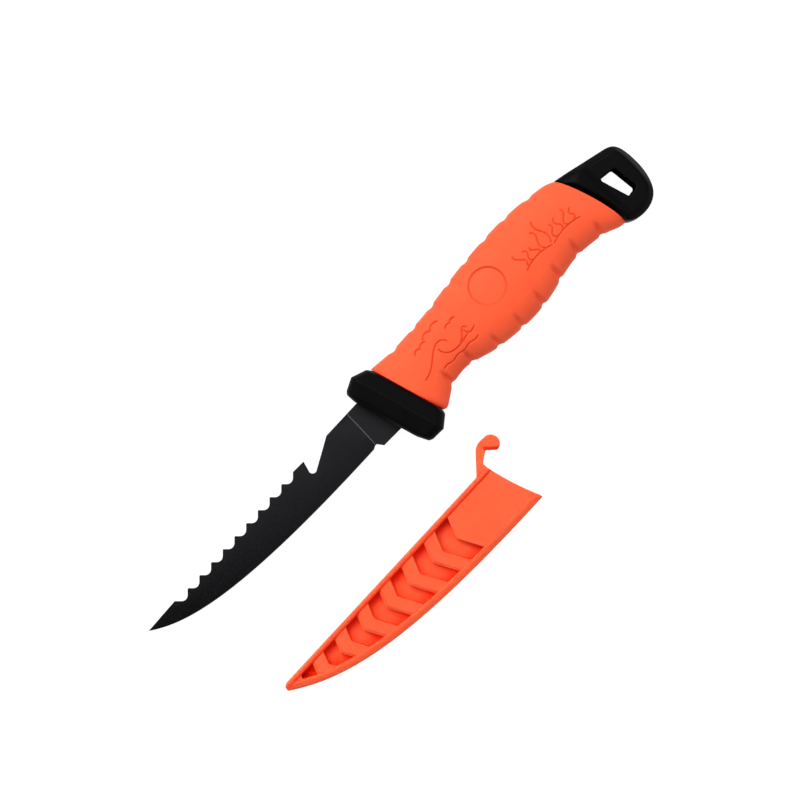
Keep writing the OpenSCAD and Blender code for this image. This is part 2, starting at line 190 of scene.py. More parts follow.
FLAT_SLANT, FLAT_SLANT_AT = 0.94, 4.35     # the flat slants back towards the knob's front and back faces

# ---- where the knife and the sheath are, from the frame (mm) ----

blade_low, blade_high = (np.array(corner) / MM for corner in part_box("blade"))
KNIFE_AT = np.array((blade_low[0] + BLADE_L, blade_high[1] - HEEL_TOP, (blade_low[2] + blade_high[2]) / 2))
latch_joint = next(joint for joint in frame["joints"] if joint["name"] == "latch_flex")
latch_at = np.array(latch_joint["pos_m"]) / MM
sheath_back_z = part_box("sheath_edge")[0].z / MM - EDGE_Z
SHEATH_AT = np.array((latch_at[0] - LATCH_AXIS[0], latch_at[1] - LATCH_AXIS[1], sheath_back_z))


# ---- curves and distances ----

def bezier(points, steps, skip_first=False):
    """Points along a cubic curve."""
    p = np.array(points, float)
    t = np.linspace(0, 1, steps + 1)[1 if skip_first else 0:, None]
    return (1 - t) ** 3 * p[0] + 3 * (1 - t) ** 2 * t * p[1] + 3 * (1 - t) * t**2 * p[2] + t**3 * p[3]


def bend(a, b, c, steps):
    """Points along a quadratic curve."""
    t = np.linspace(0, 1, steps + 1)[:, None]
    return (1 - t) ** 2 * np.array(a) + 2 * (1 - t) * t * np.array(b) + t**2 * np.array(c)


def arc(centre, radius, start, end, steps):
    """Points along an arc, from one angle to another in degrees."""
    a = np.radians(np.linspace(start, end, steps + 1))
    return np.stack([centre[0] + radius * np.cos(a), centre[1] + radius * np.sin(a)], 1)


def line_distance(points, x, y, closed=True):
    """Distance to a run of straight lines, and whether each place is inside the outline that they close."""
    shape = np.broadcast(x, y).shape
    nearest = np.full(shape, np.inf)
    inside = np.zeros(shape, bool)
    ends = np.roll(points, -1, 0) if closed else points[1:]
    for (ax, ay), (bx, by) in zip(points, ends):
        ex, ey = bx - ax, by - ay
        wx, wy = x - ax, y - ay
        t = np.clip((wx * ex + wy * ey) / max(ex * ex + ey * ey, 1e-12), 0, 1)
        nearest = np.minimum(nearest, (wx - ex * t) ** 2 + (wy - ey * t) ** 2)
        if closed and ay != by:
            inside ^= ((ay > y) != (by > y)) & (wx < ex * wy / ey)
    return np.sqrt(nearest), inside


def outline_distance(points):
    """A function that gives the distance to a closed outline, less than 0 inside it."""
    points = np.asarray(points, float)

    def distance(x, y):
        nearest, inside = line_distance(points, x, y)
        return np.where(inside, -nearest, nearest)

    return distance


def smooth_max(a, b, r):
    """The larger of two distances, rounded over r where they meet."""
    h = np.maximum(r - np.abs(a - b), 0) / r
    return np.maximum(a, b) + h * h * r / 4


def smooth_min(a, b, r):
    """The smaller of two distances, rounded over r where they meet."""
    return -smooth_max(-a, -b, r)


def smooth_step(low, high, x):
    """0 at low and 1 at high, with an easy start and end between them."""
    t = np.clip((x - low) / (high - low), 0, 1)
    return t * t * (3 - 2 * t)


def soft_profile(x, places, values, r):
    """Straight stretches between values, with their corners softened over r."""
    return sum(np.interp(x + shift, places, values) for shift in (-r, 0, r)) / 3


# ---- meshes ----

def add_mesh(name, points, faces, at, sharp=None):
    """An object in the row frame from points in mm, smooth shaded, with edges over an angle left sharp."""
    mesh = bpy.data.meshes.new(name)
    mesh.from_pydata(((points + at) * MM).tolist(), [], faces.tolist())
    mesh.update()
    mesh.shade_smooth()
    if sharp is not None:
        mesh.set_sharp_from_angle(angle=math.radians(sharp))
    piece = bpy.data.objects.new(name, mesh)
    bpy.context.scene.collection.objects.link(piece)
    return piece


def point_values(piece, name, values):
    """A number at each point of a mesh, which its material reads by name."""
    attribute = piece.data.attributes.new(name, "FLOAT", "POINT")
    attribute.data.foreach_set("value", values.astype(np.float32))


def moulded(name, field, low, high, cell, at):
    """A closed mesh of the surface where field(x, y, z) is 0, in a box from low to high."""
    axes = [np.arange(a - cell, b + 2 * cell, cell) for a, b in zip(low, high)]
    size = [len(axis) for axis in axes]
    value = np.broadcast_to(field(*np.meshgrid(*axes, indexing="ij", sparse=True)), size)
    cells = np.array(size) - 1
    stride = np.array((cells[1] * cells[2], cells[2], 1))
    owners, crossings, quads = [], [], []
    for axis in range(3):
        a = np.moveaxis(np.moveaxis(value, axis, 0)[:-1], 0, axis)
        b = np.moveaxis(np.moveaxis(value, axis, 0)[1:], 0, axis)
        corner = np.argwhere((a < 0) != (b < 0))
        start, end = a[tuple(corner.T)], b[tuple(corner.T)]
        point = np.stack([axes[k][corner[:, k]] for k in range(3)], 1)
        point[:, axis] += cell * start / (start - end)
        around = []
        for first, second in ((0, 0), (-1, 0), (-1, -1), (0, -1)):
            shift = np.zeros(3, int)
            shift[(axis + 1) % 3], shift[(axis + 2) % 3] = first, second
            around.append((corner + shift) @ stride)
            owners.append(around[-1])
            crossings.append(point)
        quad = np.stack(around, 1)
        quads.append(np.where((start < 0)[:, None], quad, quad[:, ::-1]))
    owner, crossing = np.concatenate(owners), np.concatenate(crossings)
    used, number = np.unique(owner, return_inverse=True)
    count = np.bincount(number)
    points = np.stack([np.bincount(number, crossing[:, k]) / count for k in range(3)], 1)
    faces = np.searchsorted(used, np.concatenate(quads))
    return add_mesh(name, settled(points, field, cell / 2), faces, at)


def settled(points, field, reach):
    """Points moved onto the surface where the field is 0, each by at most reach in a round."""
    step = 0.01
    for _ in range(2):
        x, y, z = points.T
        value = field(x, y, z)
        slope = np.stack([field(x + step, y, z), field(x, y + step, z), field(x, y, z + step)], 1)
        slope = (slope - value[:, None]) / step
        move = -slope * (value / np.maximum((slope**2).sum(1), 0.2))[:, None]
        far = np.linalg.norm(move, axis=1)
        points = points + move * np.minimum(1, reach / np.maximum(far, 1e-9))[:, None]
    return points


def inset(loop, d):
    """A closed outline moved to its left, which is inwards if it runs anticlockwise."""
    along = np.roll(loop, -1, 0) - loop
    along /= np.linalg.norm(along, axis=1)[:, None]
    left = np.stack([-along[:, 1], along[:, 0]], 1)
    before = np.roll(left, 1, 0)
    middle = left + before
    middle /= np.linalg.norm(middle, axis=1)[:, None]
    spread = np.maximum((middle * left).sum(1), 0.35)
    return loop + middle * (d / spread)[:, None]


def plate(name, loops, lines, half, at, sharp):
    """A flat piece with the same relief on both faces. half(x, y) is its half thickness.

    The first loop is its outline and loops that run clockwise are holes. Other loops and lines guide the
    mesh.
    """
    points, edges = [], []
    for run, closed in [(loop, True) for loop in loops] + [(line, False) for line in lines]:
        first = len(points)
        points.extend(Vector(p) for p in run)
        last = len(run) if closed else len(run) - 1
        edges.extend((first + i, first + (i + 1) % len(run)) for i in range(last))
    found, _, triangles = delaunay_2d_cdt(points, edges, [], 1, 1e-5)[:3]
    plan = np.array(found)
    triangles = np.array(triangles)
    middle = plan[triangles].mean(1)
    _, inside = line_distance(loops[0], *middle.T)
    for loop in loops[1:]:
        if signed_area(loop) < 0:
            inside &= ~line_distance(loop, *middle.T)[1]
    triangles = triangles[inside]
    height = half(*plan.T)
    n = len(plan)
    top = np.column_stack([plan, height])
    bottom = np.column_stack([plan, -height])
    border = border_edges(triangles)
    walls = np.concatenate([
        np.column_stack([border[:, 1], border[:, 0], border[:, 0] + n]),
        np.column_stack([border[:, 1], border[:, 0] + n, border[:, 1] + n]),
    ])
    faces = np.concatenate([triangles, triangles[:, ::-1] + n, walls])
    used, faces = np.unique(faces, return_inverse=True)
    return add_mesh(name, np.concatenate([top, bottom])[used], faces.reshape(-1, 3), at, sharp)


def signed_area(loop):
    """The area inside a closed outline, less than 0 if it runs clockwise."""
    x, y = loop.T
    return (x * np.roll(y, -1) - y * np.roll(x, -1)).sum() / 2


def border_edges(triangles):
    """The directed edges that only one triangle has."""
    edges = np.concatenate([triangles[:, [0, 1]], triangles[:, [1, 2]], triangles[:, [2, 0]]])
    keys = edges[:, 0] * (edges.max() + 1) + edges[:, 1]
    back = edges[:, 1] * (edges.max() + 1) + edges[:, 0]
    return edges[~np.isin(keys, back)]


# ---- blade ----

def blade_loops():
    """The blade's outline, anticlockwise from the tip, and its two rivet holes, clockwise."""
    spine = [np.array([(1.0, HEEL_TOP), (-24, 11)])]
    spine.append(arc(HOOK, HOOK_R, 310, 180, 10))
    spine.append(np.array([(HOOK[0] - 0.4, HOOK_TOP), (HOOK[0] - 5, HOOK_TOP)]))
    for i in reversed(range(SCALLOPS)):
        x = FIRST_SCALLOP[0] + i * SCALLOP_PITCH
        y = FIRST_SCALLOP[1] + i * SCALLOP_PITCH * SPINE_SLOPE
        right, left = SCALLOP_HALF / (1 - SPINE_SLOPE), -SCALLOP_HALF / (1 + SPINE_SLOPE)
        spine.append(np.array([(x + right, y + right * SPINE_SLOPE)]))
        spine.append(arc((x, y + SCALLOP_R - SCALLOP_DEPTH), SCALLOP_R, -45, -135, 10))
        spine.append(np.array([(x + left, y + left * SPINE_SLOPE)]))
    spine.append(np.array([(FIRST_SCALLOP[0] - SCALLOP_HALF - 0.4, FIRST_SCALLOP[1] + 0.4)]))
    heel = [
        (PLUNGE_X - 0.5, -5.2), (PLUNGE_X + 0.4, -5.3), (PLUNGE_X + 2.1, HEEL_LOW), (1, HEEL_LOW),
        (1, TANG_Y - TANG_H / 2), (TANG_END, TANG_Y - TANG_H / 2),
        (TANG_END, TANG_Y + TANG_H / 2), (1, TANG_Y + TANG_H / 2),
    ]
    outline = np.concatenate([bezier(BELLY, 60), np.array(heel), *spine])
    holes = [arc((x, TANG_Y), RIVET_R, 360, 15, 23) for x in RIVET_X]
    return outline, holes


def plunge_x(y):
    """Where the grind stops, at a height: the line leans and bows a little."""
    return PLUNGE_X + 0.035 * (y + 5) + 0.15 * np.sin((y + 5) / 16 * math.pi)


def build_blade():
    """The blade and its tang: hollow ground to the edge, with a small step along the plunge line."""
    outline, holes = blade_loops()
    belly = bezier(BELLY, 60)

    def half(x, y):
        from_edge = line_distance(belly, x, y, closed=False)[0]
        ground = EDGE_T / 2 + from_edge * (BLADE_T - EDGE_T) / 2 / GRIND_W
        unground = smooth_step(plunge_x(y) - PLUNGE_W, plunge_x(y), x)
        height = np.minimum(BLADE_T / 2 - PLUNGE_STEP * (1 - unground), ground + 2 * unground)
        from_side = line_distance(outline, x, y)[0]
        past = np.maximum(EDGE_ROUND - from_side, 0)
        rounded = EDGE_ROUND - np.sqrt(np.maximum(EDGE_ROUND**2 - past**2, 0))
        return height - np.minimum(rounded, height - 0.04)

    loops = [outline, *holes]
    for d in (EDGE_ROUND * 0.3, EDGE_ROUND):
        loops.append(inset(outline, d))
    grind_line = inset(belly, GRIND_W * (1 - 2 * PLUNGE_STEP / (BLADE_T - EDGE_T)))[2:-1]
    heights = np.linspace(-5, 11, 9)
    plunge = [np.stack([plunge_x(heights) - back, heights], 1) for back in (0, PLUNGE_W / 2, PLUNGE_W)]
    blade = plate("blade_plate", loops, [grind_line, *plunge], half, KNIFE_AT, 14)
    points = np.array([v.co for v in blade.data.vertices]) / MM - KNIFE_AT
    x, y, _ = points.T
    at_edge = line_distance(belly, x, y, closed=False)[0] < 0.1
    at_plunge = np.abs(x - plunge_x(y) + PLUNGE_W / 2) < 0.05
    # The edge is bare steel; along the plunge step a lighter grey is painted in, a painted highlight.
    point_values(blade, "bare", np.where(at_edge, 1.0, np.where(at_plunge, 0.35, 0.0)))
    return blade


# ---- guard ----

def guard_field(x, y, z):
    """The guard: a round-cornered section whose size follows the plates, along an axis that leans."""
    u = x * math.cos(GUARD_LEAN) + y * math.sin(GUARD_LEAN)
    v = y * math.cos(GUARD_LEAN) - x * math.sin(GUARD_LEAN)
    places, lows, tops, halves = GUARD_PLATES.T
    low, top, half = (soft_profile(u, places, values, 0.15) for values in (lows, tops, halves))
    across = np.abs(v - (low + top) / 2) - (top - low) / 2 + GUARD_CORNER
    deep = np.abs(z) - half + GUARD_CORNER
    section = np.hypot(np.maximum(across, 0), np.maximum(deep, 0)) - GUARD_CORNER
    section = section + np.minimum(np.maximum(across, deep), 0)
    return smooth_max(smooth_max(section, places[0] - u, 0.5), u - places[-1], 0.8)


# ---- grip ----

def smooth_station(column, s):
    """A smooth curve through one column of the grip's stations."""
    places, values = GRIP_STATIONS[:, 0], GRIP_STATIONS[:, column]
    number = np.arange(len(places))
    ahead, behind = np.append(number[1:], number[-1]), np.append(number[0], number[:-1])
    slope = (values[ahead] - values[behind]) / (places[ahead] - places[behind])
    i = np.clip(np.searchsorted(places, s, side="right") - 1, 0, len(places) - 2)
    width = places[i + 1] - places[i]
    t = (s - places[i]) / width
    return (
        (2 * t**3 - 3 * t**2 + 1) * values[i] + (t**3 - 2 * t**2 + t) * width * slope[i]
        + (3 * t**2 - 2 * t**3) * values[i + 1] + (t**3 - t**2) * width * slope[i + 1]
    )


def grip_x(y, s):
    """Place along the knife at a height and a share of the grip's length."""
    front = (GUARD_PLATES[-1, 0] - y * math.sin(GUARD_LEAN)) / math.cos(GUARD_LEAN)
    t = (REAR_TOP[1] - y) / (REAR_TOP[1] - REAR_LOW[1])
    rear = REAR_TOP[0] + (REAR_LOW[0] - REAR_TOP[0]) * t + REAR_BULGE * (1 - (2 * t - 1) ** 2)
    return front + (rear - front) * s


def groove(d):
    """The depth of a groove with a round bottom, at a share of its half width from its middle."""
    return np.cos(np.minimum(d, 1) * math.pi / 2) ** 1.4


def notches(s):
    """The row of notches along the back, each 1 deep in its middle."""
    i = np.clip(np.round((s - NOTCH_FIRST) / NOTCH_PITCH), 0, GROOVES - 1)
    return groove(np.abs(s - NOTCH_FIRST - i * NOTCH_PITCH) / NOTCH_HALF)


def flutes(x, height):
    """The row of flutes at a height over the belly, which widen downwards. Each leans more than the last."""
    up = np.clip(height / FLUTE_H, 0, 1)
    i = np.clip(np.round((x - FLUTE_X) / FLUTE_GAP), 0, GROOVES - 1)
    middle = FLUTE_X + i * FLUTE_GAP + (FLUTE_LEAN + FLUTE_LEAN_STEP * i) * height
    depth = smooth_step(1, 0.3, up) * (0.5 + 0.5 * smooth_step(0, 0.3, up))
    return depth * groove(np.abs(x - middle) / (FLUTE_TOP_HALF + FLUTE_SPREAD * (1 - up)))


def power_wave(v, p):
    """A sine or cosine made squarer, as round a superellipse."""
    return np.sign(v) * np.abs(v) ** (2 / p)


def ring_angles(count):
    """Angles round the grip's section, in even steps along it that are finer over its two faces."""
    a = np.linspace(0, 2 * math.pi, 7201)
    half_h, half_t = 16, 12
    y, z = half_h * power_wave(np.cos(a), section_power(a)), half_t * power_wave(np.sin(a), section_power(a))
    on_face = smooth_step(7, 10, np.abs(z[1:]))
    run = np.append(0, np.cumsum(np.hypot(np.diff(y), np.diff(z)) * (1 + on_face)))
    return np.interp(np.linspace(0, run[-1], count, endpoint=False), run, a)


def section_power(a):
    """Squareness of the section, which is rounder towards the belly."""
    return np.where(np.cos(a) < 0, BELLY_POWER, BACK_POWER)


def stroke(points, x, y):
    """An engraved line, 1 deep in its middle."""
    return np.clip(1 - line_distance(points, x, y, closed=False)[0] / STROKE_HALF, 0, 1)


def wave(x, y, width, height):
    """A wave that rises and breaks, and the trough in front of it."""
    crest = np.concatenate([bezier(WAVE_BACK, 14), bezier(WAVE_LIP, 8, True)])
    return [line * (width, height) + (x, y) for line in (crest, bend(*WAVE_TROUGH, 14))]


def gull(x, y, span, rise):
    """Two joined arcs, a bird far away."""
    left = bend((-span, 0), (-0.5 * span, 1.7 * rise), (0, 0.4 * rise), 8)
    right = bend((0, 0.4 * rise), (0.3 * span, 2 * rise), (span, rise), 8)
    return np.concatenate([left, right[1:]]) + (x, y)


def weed(x, y, height, lean, sway):
    """A blade of weed that sways one way and back as it rises."""
    t = np.linspace(0, 1, 20)
    return np.stack([x + lean * t * t + sway * np.sin(t * WEED_TURNS * math.pi), y + height * t], 1)


def engraved_lines():
    """Plain waves and far birds near the guard, and weeds on two low mounds near the pommel."""
    strokes = [line for place in WAVES for line in wave(*place)]
    strokes.extend(gull(*place) for place in GULLS)
    x = np.linspace(RIPPLE_START, RIPPLE_END, 30)
    turn = (x - RIPPLE_START) / RIPPLE_L * 2 * math.pi
    strokes.append(np.stack([x, RIPPLE_Y + RIPPLE_H * np.sin(turn)], 1))
    for start, end in MOUNDS:
        peak = ((start + end) / 2, MOUND_PEAK_Y)
        strokes.append(bend((start, MOUND_START_Y), peak, (end, MOUND_END_Y), 12))
    middle = WEEDS // 2
    for i in range(WEEDS):
        varied = WEED_VARY * abs(math.cos(2.2 * i)) + WEED_MIDDLE * math.exp(-((i - middle) ** 2))
        x = WEED_X + WEED_GAP * i
        strokes.append(weed(x, WEED_FOOT, WEED_H + varied, WEED_LEAN * (i - middle), WEED_SWAY * (-1) ** i))
    return strokes


def grip_surface(s, a):
    """Points of the notched and fluted grip, in rings at shares s of its length and at angles a round it."""
    top = smooth_station(1, s) - NOTCH_DEPTH * notches(s)
    low, half_t = smooth_station(2, s), smooth_station(3, s)
    from_end = np.minimum(s, 1 - s) * GRIP_ABOUT_L / GRIP_END_R
    tuck = GRIP_END_R * (1 - np.sqrt(np.maximum(1 - np.maximum(1 - from_end, 0) ** 2, 0)))
    across = power_wave(np.cos(a), section_power(a))
    height = (top - low) / 2 * (1 + across)
    cut = FLUTE_DEPTH * flutes(grip_x(low + height, s), height) + tuck
    y = (top + low) / 2 + ((top - low) / 2 - cut) * across
    z = (half_t - cut) * power_wave(np.sin(a), section_power(a))
    return np.stack([grip_x(y, s), y, z], 2)


def surface_normals(rings):
    """Unit normals of a surface that is given as closed rings of points. They may all point inwards."""
    girth = np.roll(rings, -1, 1) - np.roll(rings, 1, 1)
    normal = np.cross(np.gradient(rings, axis=0), girth)
    return normal / np.maximum(np.linalg.norm(normal, axis=2, keepdims=True), 1e-9)


def grip_relief(x, y):
    """How deep the badge and the engraved lines are at each place, and how much painted shade darkens them,
    heaviest on the side of the badge's ring towards the light.
    """
    from_badge = np.hypot(x - BADGE[0], y - BADGE[1])
    lines = np.zeros_like(x)
    for line in engraved_lines():
        lines = np.maximum(lines, stroke(line, x, y))
    sunk = BADGE_DEPTH * smooth_step(BADGE_R + BADGE_EDGE, BADGE_R - BADGE_EDGE, from_badge)
    # Painted shade round the badge's ring, heavier on the side towards the light, where its wall faces away.
    towards_light = ((x - BADGE[0]) + (y - BADGE[1])) / BADGE_R / math.sqrt(2)
    ring_shade = (0.8 + 0.2 * towards_light) * np.exp(-(((from_badge - BADGE_R) / 0.35) ** 2))
    return sunk + STROKE_DEPTH * lines, np.maximum(lines**0.7, ring_shade)


def build_grip():
    """The grip: a tube of rings, engraved on both faces and open at its ends for the core."""
    end = GRIP_END_R / GRIP_ABOUT_L
    rounding = end * (1 - np.cos(np.linspace(0, math.pi / 2, 7)))
    s = np.unique(np.concatenate([rounding, np.linspace(end, 1 - end, GRIP_RINGS), 1 - rounding]))[:, None]
    points = grip_surface(s, ring_angles(GRIP_AROUND)[None, :])
    normal = surface_normals(points)
    facing = smooth_step(0.35, 0.8, np.abs(normal[:, :, 2]))
    depth, engraved = grip_relief(points[:, :, 0], points[:, :, 1])
    outward = np.sign((normal * points * (0, 0, 1)).sum(2, keepdims=True))
    points = points - normal * outward * (depth * facing)[:, :, None]
    count = len(s)
    ends = [core_ring(share, GRIP_AROUND) for share in (0, 1)]
    all_points = np.concatenate([points.reshape(-1, 3), *ends])
    rows = np.concatenate([np.arange(count), [count + 1, count, 0]]) * GRIP_AROUND
    i = np.arange(GRIP_AROUND)
    j = (i + 1) % GRIP_AROUND
    faces = []
    for first, second in zip(rows, rows[1:]):
        faces.append(np.stack([first + i, second + i, second + j, first + j], 1))
    grip = add_mesh("grip_moulding", all_points, np.concatenate(faces), KNIFE_AT, 50)
    # The engraved attribute holds the painted shade of the grooves and the badge's ring.
    point_values(grip, "engraved", np.append(engraved * facing, np.zeros(2 * GRIP_AROUND)))
    return grip


def core_ring(s, around):
    """The opening at one end of the grip, where the core goes through."""
    a = ring_angles(around)
    y = TANG_Y + CORE_H / 2 * power_wave(np.cos(a), CORE_POWER)
    z = CORE_T / 2 * power_wave(np.sin(a), CORE_POWER)
    return np.stack([grip_x(y, s), y, z], 1)


# ---- pommel ----

def pommel_outline():
    """The pommel's outline, from its front down, under and back along its top."""
    y = np.linspace(REAR_TOP[1], REAR_LOW[1], 14)
    front = np.stack([grip_x(y, 1), y], 1)
    return np.concatenate([
        front,
        bezier([REAR_LOW, (121, -16), (128, -16), (132, -12.8)], 10, True),
        bezier([(132, -12.8), (135.6, -9.8), (HANDLE_L, -4), (HANDLE_L, 1)], 10, True),
        bezier([(HANDLE_L, 1), (HANDLE_L, 9), (135.8, 12.2), (131, 13.4)], 10, True),
    ])


pommel_plan = outline_distance(pommel_outline())
hole_plan = outline_distance(HOLE_CORNERS[::-1])


def pommel_field(x, y, z):
    """The pommel: it meets the grip's section, steps down to a thinner bevelled end, and has the opening."""
    plan = pommel_plan(x, y)
    places = (100, 110, 118.5, 120.5, HANDLE_L - 3, HANDLE_L)
    halves = (POMMEL_FRONT, POMMEL_FRONT, POMMEL_END + 1.7, POMMEL_END + 0.9, POMMEL_END, POMMEL_END - 2.5)
    face = np.abs(z) - soft_profile(x, places, halves, 0.5)
    across, deep = np.abs(y - POMMEL_MID_Y) / POMMEL_HALF_H, np.abs(z) / POMMEL_FRONT
    section = ((across**BACK_POWER + deep**BACK_POWER) ** (1 / BACK_POWER) - 1) * POMMEL_FRONT
    body = smooth_max(smooth_max(plan, face, 0.8), (plan + face + POMMEL_BEVEL) * math.sqrt(0.5), 0.6)
    body = smooth_max(body, section, 0.5)
    return smooth_max(body, HOLE_R - hole_plan(x, y), 0.4)


# ---- sheath and latch ----

SPINE_ALONG = (SPINE_B - SPINE_A) / np.linalg.norm(SPINE_B - SPINE_A)
FAR = 60.0
belly_curve = bezier(SHEATH_BELLY, 30)
belly_plan = outline_distance(np.concatenate([
    belly_curve, [(MOUTH_LOW[0] + FAR, MOUTH_LOW[1] + 1.5), (MOUTH_LOW[0] + FAR, FAR), (SHEATH_TIP, FAR)],
]))
mouth_plan = outline_distance(np.concatenate([
    [(MOUTH_LOW[0] + 4.2, MOUTH_LOW[1] - 8)],
    bend(MOUTH_LOW, MOUTH_BEND, (SPINE_B[0] - 0.2, SPINE_B[1] + 1), 12),
    [(SPINE_B[0] - 1, FAR), (-3 * FAR, FAR), (-3 * FAR, -FAR), (MOUTH_LOW[0] + 4.2, -FAR)],
]))


def spine_side(x, y):
    """Distance to the sheath's straight spine, less than 0 inside the sheath."""
    return (y - SPINE_A[1]) * SPINE_ALONG[0] - (x - SPINE_A[0]) * SPINE_ALONG[1]


def chevrons(x, y, numbers, offset, width):
    """Distance to a row of chevron strips, whose right edges have their apexes on the panel's middle line."""
    up, down = math.tan(UPPER_LEAN), math.tan(LOWER_LEAN)
    apex_r = 0.3
    nearest = np.inf
    for k in numbers:
        t = y - PANEL_END[1] - k * APEX_RISE
        right = PANEL_END[0] - k * WINDOW_PITCH - offset
        right = right + (up - down) / 2 * t + (up + down) / 2 * np.hypot(t, apex_r)
        strip = (np.abs(x - right + width / 2) - width / 2) * math.cos(LOWER_LEAN)
        nearest = np.minimum(nearest, strip)
    return nearest


def sheath_field(x, y, z):
    """The whole sheath: bevelled body, sunk panel, pocket, steps along the bars, then the windows."""
    belly, spine, mouth = belly_plan(x, y), spine_side(x, y), mouth_plan(x, y)
    middle = SHEATH_T / 2
    plan = smooth_max(smooth_max(belly, spine, 2.0), mouth, 0.7)
    body = smooth_max(plan, np.abs(z - middle) - middle, 0.9)
    bevel = (belly + BELLY_BEVEL) * math.sin(BEVEL_TILT) + (z - SHEATH_T) * math.cos(BEVEL_TILT)
    body = smooth_max(body, bevel, 0.5)
    body = smooth_max(body, (belly - z + 1.0) * math.sqrt(0.5), 0.6)
    panel = smooth_max(belly + RIM_BELLY, spine + RIM_SPINE, 0.8)
    body = smooth_max(body, -smooth_max(panel, SHEATH_T - RIM_STEP - z, 0.4), 0.45)
    pocket = smooth_max(smooth_max(belly, spine, 1.0) + WALL, np.abs(z - middle) - POCKET_T / 2, 0.3)
    body = smooth_max(body, -pocket, 0.4)
    step_z = SHEATH_T - RIM_STEP - BAR_STEP
    steps = smooth_max(chevrons(x, y, range(1, WINDOWS), 0, 2 * BAR_STEP_W), panel + LEDGE, 0.3)
    body = smooth_max(body, -smooth_max(steps, step_z - z, 0.15), 0.15)
    front = np.minimum(
        chevrons(x, y, range(1), 0, WINDOW_W),
        chevrons(x, y, range(1, WINDOWS), BAR_STEP_W, WINDOW_W - BAR_STEP_W),
    )
    body = smooth_max(body, -smooth_max(smooth_max(front, panel + LEDGE, 0.4), middle - z, 0.3), 0.25)
    back_w = WINDOW_PITCH - WINDOW_W - 2 * BAR_LAP
    back = smooth_max(chevrons(x, y, range(WINDOWS - 1), WINDOW_W + BAR_LAP, back_w), panel + LEDGE, 0.4)
    return smooth_max(body, -smooth_max(back, z - middle, 0.3), 0.35)


def sheath_front_field(x, y, z):
    """The front half of the sheath, with the bars in front."""
    return np.maximum(sheath_field(x, y, z), SHEATH_T / 2 - z)


def sheath_back_field(x, y, z):
    """The back half of the sheath, with the bars behind."""
    return np.maximum(sheath_field(x, y, z), z - SHEATH_T / 2)


def sheath_points(piece):
    """A piece's points in the sheath's plan, in mm."""
    return np.array([v.co for v in piece.data.vertices]) / MM - SHEATH_AT


def rim_foot_shade(points):
    """Painted shade along the foot of the spine's rim on the front face: 1 there, less away from it."""
    x, y, z = points.T
    away = (spine_side(x, y) + RIM_SPINE - RIM_SHADE_UP) / RIM_SHADE_HALF
    return np.exp(-(away**2)) * (z > SHEATH_T - RIM_STEP - 0.3)


LATCH_OUTLINE = np.concatenate([
    [(-20.5, 11.2), (-17.4, 13.0), (-10.9, 20.0)],
    bezier([(-10.9, 20.0), (-9.4, 21.6), (-8.0, 22.1), (-5.2, 22.05)], 6, True),
    [(-4.2, 19.5), (-7.4, 18.0), (-10.4, 16.2), (-11.9, 14.9), (-11.9, 11.2)],
])
latch_plan = outline_distance(LATCH_OUTLINE[::-1])


def towards_flat(x, y):
    """How far a place is from the knob's middle, on the way to its flat."""
    return (x - KNOB[0]) * FLAT_WAY[0] + (y - KNOB[1]) * FLAT_WAY[1]


def knob_flat_shade(points):
    """Painted shade on the knob's slanted flat, which faces away from the light: 1 there, 0 elsewhere."""
    x, y, _ = points.T
    on_knob = np.hypot(x - KNOB[0], y - KNOB[1]) < KNOB_R + 0.2
    return smooth_step(0.9, 1.5, towards_flat(x, y)) * on_knob


def latch_field(x, y, z):
    """The latch: an arm that thickens towards its root, and the knob with its slanted flat."""
    z = np.abs(z - SHEATH_T / 2)
    root = smooth_step(17.5, 13.0, y)
    arm = smooth_max(latch_plan(x, y), z - ARM_T / 2 - 0.9 * root, 0.7)
    knob = smooth_max(np.hypot(x - KNOB[0], y - KNOB[1]) - KNOB_R, z - KNOB_T / 2, 0.9)
    flat = towards_flat(x, y)
    slanted = (flat + FLAT_SLANT * z - FLAT_SLANT_AT) / math.hypot(1, FLAT_SLANT)
    knob = smooth_max(smooth_max(knob, flat - KNOB_FLAT, 0.3), slanted, 0.3)
    return smooth_min(arm, knob, 0.5)


# ---- materials ----

def shader(name, color, roughness, metallic=0.0):
    """A material, its node tree and its shader."""
    material = bpy.data.materials.new(name)
    material.use_nodes = True
    tree = material.node_tree
    principled = tree.nodes["Principled BSDF"]
    principled.inputs["Base Color"].default_value = (*color, 1)
    principled.inputs["Roughness"].default_value = roughness
    principled.inputs["Metallic"].default_value = metallic
    return material, tree, principled


def noise(tree, scale, detail=3.0, stretch=(1, 1, 1)):
    """A noise's value over the object, with that many features in a metre."""
    place = tree.nodes.new("ShaderNodeTexCoord")
    mapping = tree.nodes.new("ShaderNodeMapping")
    mapping.inputs["Scale"].default_value = stretch
    texture = tree.nodes.new("ShaderNodeTexNoise")
    texture.inputs["Scale"].default_value = scale
    texture.inputs["Detail"].default_value = detail
    tree.links.new(place.outputs["Object"], mapping.inputs["Vector"])
    tree.links.new(mapping.outputs["Vector"], texture.inputs["Vector"])
    return texture.outputs["Fac"]


def ramp(tree, value, low, high, start, end):
    """A value moved from one range to another."""
    node = tree.nodes.new("ShaderNodeMapRange")
    node.inputs["From Min"].default_value = low
    node.inputs["From Max"].default_value = high
    node.inputs["To Min"].default_value = start
    node.inputs["To Max"].default_value = end
    tree.links.new(value, node.inputs["Value"])
    return node.outputs["Result"]


def mix(tree, share, first, second):
    """A colour between two, each a colour or another node's output."""
    node = tree.nodes.new("ShaderNodeMix")
    node.data_type = "RGBA"
    for socket, colour in ((node.inputs["A"], first), (node.inputs["B"], second)):
        if isinstance(colour, tuple):
            socket.default_value = (*colour, 1)
        else:
            tree.links.new(colour, socket)
    tree.links.new(share, node.inputs["Factor"])
    return node.outputs["Result"]


